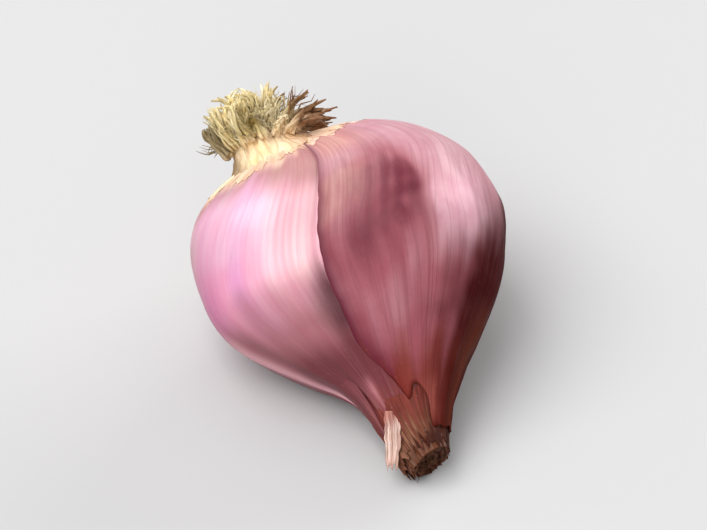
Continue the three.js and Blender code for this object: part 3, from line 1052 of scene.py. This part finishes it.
neckStrip = {
    "rows": 60,
    "columns": 24,
    "thickness": 0.12,
    # the Bezier corners of its middle line, from where it leaves the neck, and its own directions:
    # across it, and out of its face
    "line": ((-5.55, -17.9, 7.5), (-6.3, -20.1, 5.6), (-7.5, -22.0, 2.9)),
    "across": (0.72, -0.64, 0.28),
    "face": (-0.62, -0.4, 0.67),
    "width": 1.95,
    "curl": 0.22,
    "crumple": 0.07,
    "cream": screen(246, 226, 216),
    "blush": screen(196, 132, 124),
    "shade": screen(196, 156, 130),
}


def makeNeckStrip():
    # a band of dry skin that peels away from the neck along a quadratic Bezier curve: its half
    # width is the root of a sine, and it is curled by the square of the place across it, from -1
    # to 1, and crumpled by two slow waves
    look = neckStrip
    along, across = gridOf(look, -1, 1)
    ragged = along + 0.05 * np.cos(across * 7 + 1) * ease(along, 0.7, 1)
    ragged = (ragged + 0.03 * np.cos(across * 19) * ease(along, 0.8, 1))[..., None]
    start, middle, end = (np.array(corner) for corner in look["line"])
    points = (1 - ragged) ** 2 * start + 2 * ragged * (1 - ragged) * middle + ragged**2 * end
    half = look["width"] / 2 * np.sqrt(np.sin(math.pi * mix(0.24, 0.86, along)))
    half = half * (1 + 0.07 * np.cos(along * 17 + 2 * across) + 0.04 * np.cos(along * 37))
    points = points + np.array(look["across"]) * (across * half)[..., None]
    rise = look["curl"] * (across**2 - 0.4) * ease(along, 0.1, 0.6)
    rise = rise + look["crumple"] * (np.cos(along * 13 + 3 * across) + np.cos(across * 9 + 5 * along))
    points = points + np.array(look["face"]) * rise[..., None]
    fresh = along + 0.06 * np.cos(across * 11) + 0.08 * across
    fibre = clamp(0.5 + 0.5 * np.cos(across * 17 + 3 * along))
    tints = towards(plain(look["blush"], along), look["cream"], ease(fresh, 0.04, 0.42))
    tints = towards(tints, look["shade"], 0.35 * fibre)
    tints = towards(tints, look["shade"], 0.3 * ease(along, 0.86, 1))
    growth = np.stack([0.4 * across, 0 * along, 0.2 * along], -1)
    return makeSheet("neckStrip", look, points, tints, growth, "drySheath")


lobeTip = {
    "rows": 60,
    "columns": 36,
    "thickness": 0.1,
    "start": 29,
    "end": 39.0,
    "startAngle": 156,
    "endAngle": 140,
    "width": 30,  # degrees to each side where it is widest, and at its point
    "pointWidth": 1.0,
    "lift": 0.45,
    "dark": screen(88, 38, 40),
    "pink": screen(196, 128, 134),
}


def makeLobeTip():
    # a ribbon of the small lobe's skin that follows the neck and tapers to a point: it comes out
    # of the lobe's own skin, and stands off the neck by the square of the way along it
    look = lobeTip
    along, across = gridOf(look, -1, 1)
    half = look["width"] * (1 - along) ** 0.8 + look["pointWidth"]
    angle = np.radians(mix(look["startAngle"], look["endAngle"], along) + across * half)
    distance = mix(look["start"], look["end"], along)
    distance = distance + 0.3 * np.cos(across * 9 + 1) * ease(along, 0.7, 1)
    hidden = 0.3 * (1 - ease(along, 0.0, 0.3)) + 0.2 * across**6 * (1 - ease(along, 0.2, 0.5))
    lift = 0.1 - hidden + look["lift"] * along**2 + 0.12 * across**2 * along
    points = skinAt(distance, angle, lift=lift)
    tints = bulbTints(distance, angle, points)
    tints = towards(tints, look["pink"], 0.2 * ease(-across, 0.0, 0.9) * bump(along, 0.55, 0.3))
    # darker towards the point: partly the dry tip's own colour, partly painted shade
    tints = towards(tints, look["dark"], 0.4 * ease(along, 0.2, 0.45))
    tints = towards(tints, look["dark"], 0.8 * ease(along, 0.6, 1))
    return makeSheet("lobeTip", look, points, tints, growthVector(distance, angle), "glossySkin")


sheathPiece = makeSheath("neckSheath", neckSheath, 61)
innerPiece = makeSheath("innerSheath", innerSheath, 66)
stripPiece = makeNeckStrip()
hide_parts("neck_strip")
tipPiece = makeLobeTip()


# tubes, for roots and fibres

tubeSides = 5
tubeShare = np.linspace(0, 1, 8)[None, :]  # the share of the way along for each ring of a tube


def tubeRings(paths, radii):
    # rings round each path: two directions across it, turned right round, times the radius there
    forward = unit(np.gradient(paths, axis=1))
    bend = unit(paths[:, -1] - paths[:, 0])
    upright = np.abs(bend[:, 2:]) >= 0.8
    helper = np.cross(bend, np.where(upright, [[1.0, 0, 0]], [[0, 0, 1.0]]))[:, None]
    across = unit(helper - forward * np.sum(helper * forward, axis=-1, keepdims=True))
    other = np.cross(forward, across)
    turn = np.linspace(0, fullTurn, tubeSides, endpoint=False)[:, None]
    ring = across[:, :, None] * np.cos(turn) + other[:, :, None] * np.sin(turn)
    return paths[:, :, None] + ring * radii[..., None, None], turn[:, 0]


def makeTubes(name, paths, radii, tints, finish):
    # every tube's rings with a pole at each end, and the same faces for each tube
    count, steps = radii.shape
    rings, turn = tubeRings(paths, radii)
    ringTints = np.broadcast_to(tints[:, :, None], rings.shape)
    own = np.arange(count)[:, None, None] * 0.37  # a place in the grain for each tube
    blank = np.zeros(rings.shape[:3])
    grown = np.stack([0.3 * np.cos(turn) + own + blank, 0.3 * np.sin(turn) + blank,
                      0.25 * tubeShare[..., None] + own * 2 + blank], -1)

    def withEnds(values, starts, ends):
        # a tube's rings of values in one row, with the two poles' after them
        return np.concatenate([values.reshape(count, -1, 3), starts, ends], axis=1)

    points = withEnds(rings, paths[:, :1], paths[:, -1:])
    allTints = withEnds(ringTints, tints[:, :1], tints[:, -1:])
    growth = withEnds(grown, grown[:, 0, :1], grown[:, -1, -1:])
    offset = (np.arange(count) * (steps * tubeSides + 2))[:, None, None]
    faces = [(part[None] + offset).reshape(-1, part.shape[1])
             for part in cappedFaces(steps, tubeSides)]
    return makePiece(name, points, faces, allTints, growth, finish)


# the root plate and its roots

rootTuft = {
    "footHeight": 2.2,  # where the roots leave the plate, and how much higher in its middle
    "footDome": 0.9,
    "spread": 4.5,
    "leanMiddle": 6,
    "leanRim": 30,
    "frontLean": 0.8,  # how much less the roots lean out over the plate's front
    "cream": screen(238, 214, 180),
    "straw": screen(252, 236, 180),
    "pale": screen(255, 250, 222),
    "olive": screen(124, 102, 34),
    "paintedShade": screen(104, 78, 34),
    "brown": screen(124, 78, 48),
    "grey": screen(128, 116, 92),
    # the tuft's bright place and its hollow of painted shade: the middle and spread sideways, then
    # outward
    "bright": (2.6, 1.5, 2.8, 2.4),
    "shadedHollow": (-0.2, 1.6, 4.4, 1.4),
    # how far to the main lobe's side it turns brown, to the other side grey, and outward from cream
    "brownRise": (4.1, 5.7),
    "greyRise": (3.2, 5.2),
    "creamFade": (1.8, 3.4),
}


def rootAxes():
    # the root plate's middle, and its directions: side, outward (away from the bulb) and across
    centre, forward, side, _ = (row[0] for row in frameAt(np.array([0.0])))
    return centre, side, -forward, np.cross(side, -forward)


rootCentre, rootSide, rootOut, rootAcross = rootAxes()


def fromRoot(sideways, outward, across):
    # a place given from the root plate's middle along its three directions
    parts = ((sideways, rootSide), (outward, rootOut), (across, rootAcross))
    return rootCentre + sum(np.asarray(length)[..., None] * axis for length, axis in parts)


def rootTints(sideways, outward, blotch):
    # straw and pale yellow in the middle with an olive hollow of painted shade, brown towards the
    # main lobe, grey at the far side, cream at the foot
    look = rootTuft

    def place(name):
        # a bell sideways times a bell outward
        middle, wide, height, tall = look[name]
        return 0.95 * bump(sideways, middle, wide) * bump(outward, height, tall)

    tints = plain(look["straw"], sideways)
    tints = towards(tints, look["olive"], clamp(0.35 * blotch))
    tints = towards(tints, look["pale"], place("bright"))
    tints = towards(tints, look["pale"], clamp(-0.6 * blotch))
    tints = towards(tints, look["olive"], place("shadedHollow"))
    grey = ease(0.6 * blotch - sideways, *look["greyRise"])
    tints = towards(tints, look["grey"], 0.85 * grey)
    cream = 1 - ease(outward + 0.4 * blotch, *look["creamFade"])
    tints = towards(tints, look["cream"], 0.9 * cream)
    brown = ease(sideways + 0.5 * blotch, *look["brownRise"])
    return towards(tints, look["brown"], 0.9 * brown)


rootPlate = {
    "rows": 40,
    "columns": 180,
    "radius": 4.6,
    "foot": -0.9,
    "height": 3.6,
    "flare": 1.6,  # how much wider its foot is, where it runs out into the shoulder
    "scallop": 0.08,
    "lumps": 0.3,
    "lumpSize": 1.7,
    "tan": screen(190, 142, 116),
    "leftFootShade": screen(130, 106, 80),
}


def makeRootPlate():
    # a thick disc with a domed top, turned about its axis: the radius is a power of the cosine and
    # the height a power of the sine, with its side scalloped where the roots leave it
    look = rootPlate
    share, turn = gridOf(look, 0, fullTurn, closed=True)
    rise = share * math.pi / 2
    height = mix(look["foot"], look["height"], np.sin(rise) ** 1.15)
    radius = look["radius"] * np.cos(rise) ** 0.42
    radius = radius + look["flare"] * (1 - ease(height, look["foot"], 1.6)) ** 1.5
    scallop = look["scallop"] * ripple(turn, 4 * share, 9, 60, 0.8, 73)
    radius = radius + scallop * between(share, 0.1, 0.4, 0.75, 0.98)
    sideways = radius * np.cos(turn)
    points = fromRoot(sideways, height, radius * np.sin(turn))
    lumps = look["lumps"] * softNoise(points, look["lumpSize"], 71) * ease(share, 0.1, 0.4)
    points = points + rootOut * lumps[..., None]
    blotch = softNoise(points, 2.5, 72)
    tints = rootTints(sideways, height, 0.4 * blotch)
    # painted shade on the plate's top, under the roots
    tints = towards(tints, rootTuft["paintedShade"], 0.85 * ease(height + 0.3 * blotch, 2.2, 3.2))
    rightFoot = ease(sideways, 1.5, 4) * (1 - ease(height, 1.8, 2.6))
    tints = towards(tints, look["tan"], 0.55 * rightFoot)
    # painted shade: greyer and darker on the left of the plate's foot
    tints = towards(tints, look["leftFootShade"], 0.8 * ease(-sideways, 2.6, 4.6))
    growth = np.stack([np.cos(turn), np.sin(turn), radius * 0.1], -1)
    foot, top = (fromRoot([0.0], [look[end]], [0.0]) for end in ("foot", "height"))
    # the last row would be a ring of no width, so the pole at the top takes its place
    return makePiece(
        "rootPlate", withPoles(points[:-1], foot, top),
        cappedFaces(look["rows"] - 1, look["columns"], turned=True),
        withPoles(tints[:-1], rootTuft["cream"], rootTuft["paintedShade"]),
        withPoles(growth[:-1], [0, 0, 0], [0, 0, 0]), "dryRoots")


rootLocks = {
    "locks": 66,
    "rootsPerLock": 12,
    "thin": 0.13,
    "thick": 0.28,
    "short": 3.9,
    "long": 6.0,
    "footSize": 0.95,  # how far apart a lock's roots start, and end
    "tipSize": 0.95,
    "leftLean": 0.4,  # the share that they lean less on the small lobe's side
    "rightLean": 84,  # the further lean of the roots on the main lobe's side
    "rightDrop": 1.6,  # and how much lower they leave the plate there
    "leanMost": 112,
    "leanWander": 9,
    "sweep": 0.12,  # how far the whole tuft leans towards the main lobe
    "bend": 0.13,
    "sag": 0.25,
    "broken": 0.55,  # the share that is gone from the broken roots at the front, and where they are
    "brokenPlace": (2.2, 1.4),
    "blunt": 8,  # how sharply a root's end closes
}


def makeRootLocks():
    # roots matted into locks: each root is a quadratic Bezier curve from near its lock's foot to
    # near its tip, with a small wave, knobbly sides and a blunt dry end
    tuft = rootTuft
    look = rootLocks
    draw = np.random.default_rng(81)
    index = np.arange(look["locks"])
    spread = np.sqrt((index + 0.5) / look["locks"])
    heading = wrap(index * goldenAngle + draw.normal(0, 0.22, index.size))
    heading = heading - 0.3 * np.sin(heading) * spread**2
    right = clamp(np.cos(heading)) ** 0.8
    lean = mix(tuft["leanMiddle"], tuft["leanRim"], spread**1.6)
    lean = lean * (1 - look["leftLean"] * clamp(-np.cos(heading)))
    lean = lean + look["rightLean"] * spread**1.2 * right
    lean = lean * (1 - tuft["frontLean"] * clamp(np.sin(heading)) * (1 - right))
    lean = lean + draw.normal(0, look["leanWander"], index.size) * (1 + right)
    lean = np.radians(np.minimum(lean, look["leanMost"]))
    length = draw.uniform(look["short"], look["long"], index.size) * mix(1.05, 0.95, spread)
    length = length * (1 - 0.12 * spread * right)
    sideways = tuft["spread"] * spread * np.cos(heading)
    across = tuft["spread"] * spread * np.sin(heading)
    broken = bump(sideways, *look["brokenPlace"]) * ease(np.sin(heading) * spread, 0.3, 0.6)
    length = (length * (1 - look["broken"] * broken))[:, None]
    height = tuft["footHeight"] + tuft["footDome"] * (1 - spread**3)
    height = height - look["rightDrop"] * spread**2 * right
    foot = np.stack([sideways, height, across], -1)
    aim = unit(np.stack([np.sin(lean) * np.cos(heading) + look["sweep"], np.cos(lean),
                         np.sin(lean) * np.sin(heading)], -1))
    tip = foot + aim * length
    bend = draw.normal(0, look["bend"], aim.shape)
    middle = foot + (aim * 0.45 + [0, look["sag"], 0] + bend) * length

    def scatter(places, size):
        # each lock's place for each of its roots, moved at random in a flat disc of that size
        turn = draw.uniform(0, fullTurn, (index.size, look["rootsPerLock"]))
        out = size * np.sqrt(draw.uniform(0, 1, turn.shape))
        moved = np.stack([out * np.cos(turn), draw.normal(0, 0.2, turn.shape), out * np.sin(turn)], -1)
        return (places[:, None] + moved).reshape(-1, 1, 3)

    foot = scatter(foot, look["footSize"])
    middle = scatter(middle, look["footSize"])
    tip = scatter(tip, look["tipSize"])
    each = (len(foot), 1)
    share = tubeShare
    gone = (draw.uniform(0.6, 1.1, each) * share)[..., None]
    paths = (1 - gone) ** 2 * foot + 2 * gone * (1 - gone) * middle + gone**2 * tip
    wave = draw.uniform(2, 7, each) * share * math.pi / 1.4 + draw.uniform(0, fullTurn, each)
    sway = (draw.uniform(0.1, 0.34, each) * share)[..., None]
    paths = paths + sway * np.stack([np.cos(wave), 0.3 * np.sin(wave), np.sin(wave * 1.2)], -1)
    thick = draw.uniform(look["thin"], look["thick"], each)
    knobs = 1 + 0.15 * np.cos(share * draw.uniform(9, 22, each) + draw.uniform(0, 6, each))
    blunt = np.sqrt(clamp((1 - share) * look["blunt"], 0.25, 1))
    radii = thick * mix(1.25, 0.8, share) * knobs * blunt
    lockTone = np.repeat(draw.normal(-0.1, 0.8, index.size), look["rootsPerLock"])[:, None]
    blotch = lockTone + draw.normal(0, 0.55, each) + 0 * share
    tints = rootTints(paths[..., 0], paths[..., 1], blotch)
    rim = np.repeat(ease(spread, 0.75, 0.95), look["rootsPerLock"])[:, None]
    # painted shade between the roots: darker at the feet of the inner locks
    paintedShade = (1 - ease(share, 0.1, 0.7)) * (1 - 0.7 * rim) * (1 - ease(paths[..., 2], 0, 2.5))
    tints = towards(tints, tuft["paintedShade"], 0.6 * paintedShade)
    places = fromRoot(paths[..., 0], paths[..., 1], paths[..., 2])
    return makeTubes("rootLocks", places, radii, tints, "dryRoots")


rootFibres = {
    "count": 170,
    "thin": 0.07,
    "thick": 0.13,
    "short": 2.8,
    "long": 5.2,
    "curl": 1.3,
    "droop": 1.1,
    "leanWander": 9,
}


def makeRootFibres():
    # thin dry roots spread over the plate by the golden angle, leaning out more the nearer they
    # are to the rim, bending over by a parabola and swaying by a slow wave
    tuft = rootTuft
    look = rootFibres
    draw = np.random.default_rng(82)
    count = look["count"]
    each = (count, 1)
    index = np.arange(count)
    spread = np.sqrt((index + 0.5) / count)
    heading = index * goldenAngle + draw.normal(0, 0.25, count)
    lean = mix(tuft["leanMiddle"], tuft["leanRim"], spread**1.4)
    lean = lean * (1 - tuft["frontLean"] * clamp(np.sin(heading)))
    lean = np.radians(lean + draw.normal(0, look["leanWander"], count))[:, None]
    length = (draw.uniform(look["short"], look["long"], count) * mix(1.1, 0.85, spread))[:, None]
    spread = spread[:, None]
    heading = heading[:, None]
    share = tubeShare
    droop = look["droop"] * spread * share**2
    reach = tuft["spread"] * spread + np.sin(lean) * length * share + droop
    height = tuft["footHeight"] + tuft["footDome"] * (1 - spread**2)
    height = height + np.cos(lean) * length * share - droop
    sway = look["curl"] * draw.normal(0, 1, each) * share**1.5
    wave = draw.uniform(1.2, 3.4, each) * share * math.pi + draw.uniform(0, fullTurn, each)
    sway = sway + look["curl"] * 0.5 * np.sin(wave) * share
    height = height + look["curl"] * 0.35 * np.cos(wave * 1.3) * share
    sideways = reach * np.cos(heading) - sway * np.sin(heading)
    across = reach * np.sin(heading) + sway * np.cos(heading)
    thick = draw.uniform(look["thin"], look["thick"], each)
    radii = thick * mix(1.2, 0.5, share) * np.sqrt(clamp((1 - share) * 6, 0.2, 1))
    blotch = draw.normal(0.1, 0.9, each) + 0 * share
    tints = rootTints(sideways, height, blotch)
    return makeTubes("rootFibres", fromRoot(sideways, height, across), radii, tints, "dryRoots")


rootCollar = {
    "rows": 26,
    "columns": 320,
    "thickness": 0.03,
    "reach": 1.35,
    "ragged": 0.3,
    "tan": screen(214, 176, 142),
    "rose": screen(212, 160, 148),
}


def makeRootCollar():
    # the ragged foot of the older skins, from under the root plate out over the shoulder, with its
    # torn edge curled up
    look = rootCollar
    along, angle = gridOf(look, 0, fullTurn, closed=True)
    fray = ripple(angle, 0, 3, 12, 0, 95) + 0.9 * ripple(angle, 0, 40, 110, 0, 96)
    distance = clamp(look["reach"] + look["ragged"] * fray, 0.5, 2.3) * along
    curl = clamp(0.5 + 0.5 * ripple(angle, 0, 4, 15, 0, 97))
    lift = 0.06 - 0.02 * along + 0.05 * curl * along**4
    lift = lift + 0.02 * ripple(angle, distance, 20, 50, 0.3, 98)
    points = skinAt(distance, angle, lift=lift)
    streak = ripple(angle, distance, 18, 44, 0.3, 99)
    tints = plain(rootTuft["cream"], distance)
    tints = towards(tints, look["tan"], clamp(0.3 + 0.3 * streak) * ease(along, 0.2, 0.8))
    tints = towards(tints, look["rose"], 0.7 * ease(distance + 0.3 * streak, 1.6, 3.2))
    return makeSheet("rootCollar", look, points, tints, growthVector(distance, angle),
                     "paperySkin", closed=True)


platePiece = makeRootPlate()
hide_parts("root_tuft")
lockPiece = makeRootLocks()
fibrePiece = makeRootFibres()
collarPiece = makeRootCollar()


# the broken end of the neck

tipShreds = {
    "count": 46,
    "thin": 0.05,
    "thick": 0.13,
    "short": 0.6,
    "long": 1.9,
    "depth": 1.1,  # how far inside the neck's end they start
    "spread": 0.75,  # how much of the neck's width they fill
    "aside": 0.5,
    "rise": 0.25,
    "straw": screen(150, 112, 78),
    "brown": screen(78, 42, 22),
}


def makeTipShreds():
    # the fibres left in the broken end of the neck: straight out of it, bending aside by a parabola
    look = tipShreds
    draw = np.random.default_rng(85)
    count = look["count"]
    each = (count, 1)
    foot = np.array([growthLength - look["depth"]])
    centre, forward, side, up = (row[0] for row in frameAt(foot))
    heading = np.arange(count) * goldenAngle
    radius = look["spread"] * np.sqrt((np.arange(count) + 0.5) / count)
    radius = radius * radiusAt(np.full(count, growthLength), heading)
    length = draw.uniform(look["short"], look["long"], each)
    aside = draw.normal(0, look["aside"], (2, count, 1)) * tubeShare**2
    across = (radius * np.cos(heading))[:, None] + aside[0]
    above = (radius * np.sin(heading))[:, None] + aside[1]
    parts = ((across, side), (above, up), (length * tubeShare, forward))
    paths = centre + sum(part[..., None] * axis for part, axis in parts)
    paths[..., 2] = np.maximum(paths[..., 2], look["rise"])
    radii = draw.uniform(look["thin"], look["thick"], each) * mix(1, 0.5, tubeShare)
    tints = towards(plain(look["brown"], across), look["straw"], draw.uniform(0, 1, each) * tubeShare)
    return makeTubes("tipShreds", paths, radii, tints, "drySheath")


shredPiece = makeTipShreds()


# floor, lights and camera: the floor and the lights are given in metres, and the camera's place
# and its aim, which is moved from the onion's middle to the right and up, in millimetres

floorLook = {"half": 2.0, "colour": (0.47, 0.47, 0.465, 1), "roughness": 0.75, "specular": 0.2}


def makeFloor():
    # one pale square, half a side to each side of the middle
    half = floorLook["half"]
    mesh = bpy.data.meshes.new("floor")
    corners = [(-half, -half, 0), (half, -half, 0), (half, half, 0), (-half, half, 0)]
    mesh.from_pydata(corners, [], [(0, 1, 2, 3)])
    floor = bpy.data.objects.new("floor", mesh)
    bpy.context.scene.collection.objects.link(floor)
    material = bpy.data.materials.new("paleFloor")
    material.use_nodes = True
    shader = material.node_tree.nodes["Principled BSDF"]
    feed(material.node_tree, shader, Base_Color=floorLook["colour"],
         Roughness=floorLook["roughness"], Specular_IOR_Level=floorLook["specular"])
    mesh.materials.append(material)


lights = {
    "left": {"place": (-0.76, 0.03, 1.4), "wide": 1.5, "tall": 1.3, "power": 31.0,
             "colour": (1.0, 0.98, 1.0)},
    "top": {"place": (0.0, 0.72, 1.53), "wide": 1.1, "tall": 0.9, "power": 6.5,
            "colour": (1.0, 1.0, 1.0)},
    "right": {"place": (1.5, 0.54, 0.62), "wide": 1.4, "tall": 0.58, "power": 21.0,
              "colour": (1.0, 0.99, 0.98)},
    "front": {"place": (-1.1, -1.5, 0.9), "wide": 1.4, "tall": 0.9, "power": 11.0,
              "colour": (1.0, 0.98, 0.98)},
}
worldLight = {"colour": (0.93, 0.96, 1.0, 1), "strength": 0.38}


def pointAt(thing, target):
    # turned so that its own -Z faces the target, with its Y upwards
    direction = target - thing.location
    thing.rotation_mode = "QUATERNION"
    thing.rotation_quaternion = direction.to_track_quat("-Z", "Y")


def makeLights(middle):
    # a soft rectangular lamp for each row of the settings, aimed at the onion, and a pale world
    for name, light in lights.items():
        lamp = bpy.data.lights.new(name, "AREA")
        lamp.shape = "RECTANGLE"
        lamp.size = light["wide"]
        lamp.size_y = light["tall"]
        lamp.energy = light["power"]
        lamp.color = light["colour"]
        thing = bpy.data.objects.new(name, lamp)
        thing.location = light["place"]
        pointAt(thing, middle)
        thing.visible_camera = False
        bpy.context.scene.collection.objects.link(thing)
    world = bpy.data.worlds.new("paleRoom")
    world.use_nodes = True
    background = world.node_tree.nodes["Background"]
    feed(world.node_tree, background, Color=worldLight["colour"], Strength=worldLight["strength"])
    bpy.context.scene.world = world


cameraPlace = {
    "azimuth": -27.7,
    "elevation": 43.0,
    "distance": 420,
    "lens": 180,
    "aimRight": -1.0,
    "aimUp": -1.0,
    "clipStart": 0.01,  # metres
    "clipEnd": 20,
}


def makeCamera(middle):
    # back from the onion by the distance, at an azimuth and an elevation
    azimuth = math.radians(cameraPlace["azimuth"])
    elevation = math.radians(cameraPlace["elevation"])
    back = Vector((math.sin(azimuth) * math.cos(elevation),
                   -math.cos(azimuth) * math.cos(elevation), math.sin(elevation)))
    right = Vector((math.cos(azimuth), math.sin(azimuth), 0))
    up = back.cross(right)
    aim = middle + (right * cameraPlace["aimRight"] + up * cameraPlace["aimUp"]) * millimetre
    lens = bpy.data.cameras.new("camera")
    lens.lens = cameraPlace["lens"]
    lens.clip_start = cameraPlace["clipStart"]
    lens.clip_end = cameraPlace["clipEnd"]
    camera = bpy.data.objects.new("camera", lens)
    camera.location = aim + back * cameraPlace["distance"] * millimetre
    pointAt(camera, aim)
    bpy.context.scene.collection.objects.link(camera)
    bpy.context.scene.camera = camera


makeFloor()
onionMiddle = (cadLow + cadHigh) / 2
makeLights(onionMiddle)
makeCamera(onionMiddle)
bpy.context.scene.view_settings.view_transform = "Standard"
print("made the floor, lights and camera")
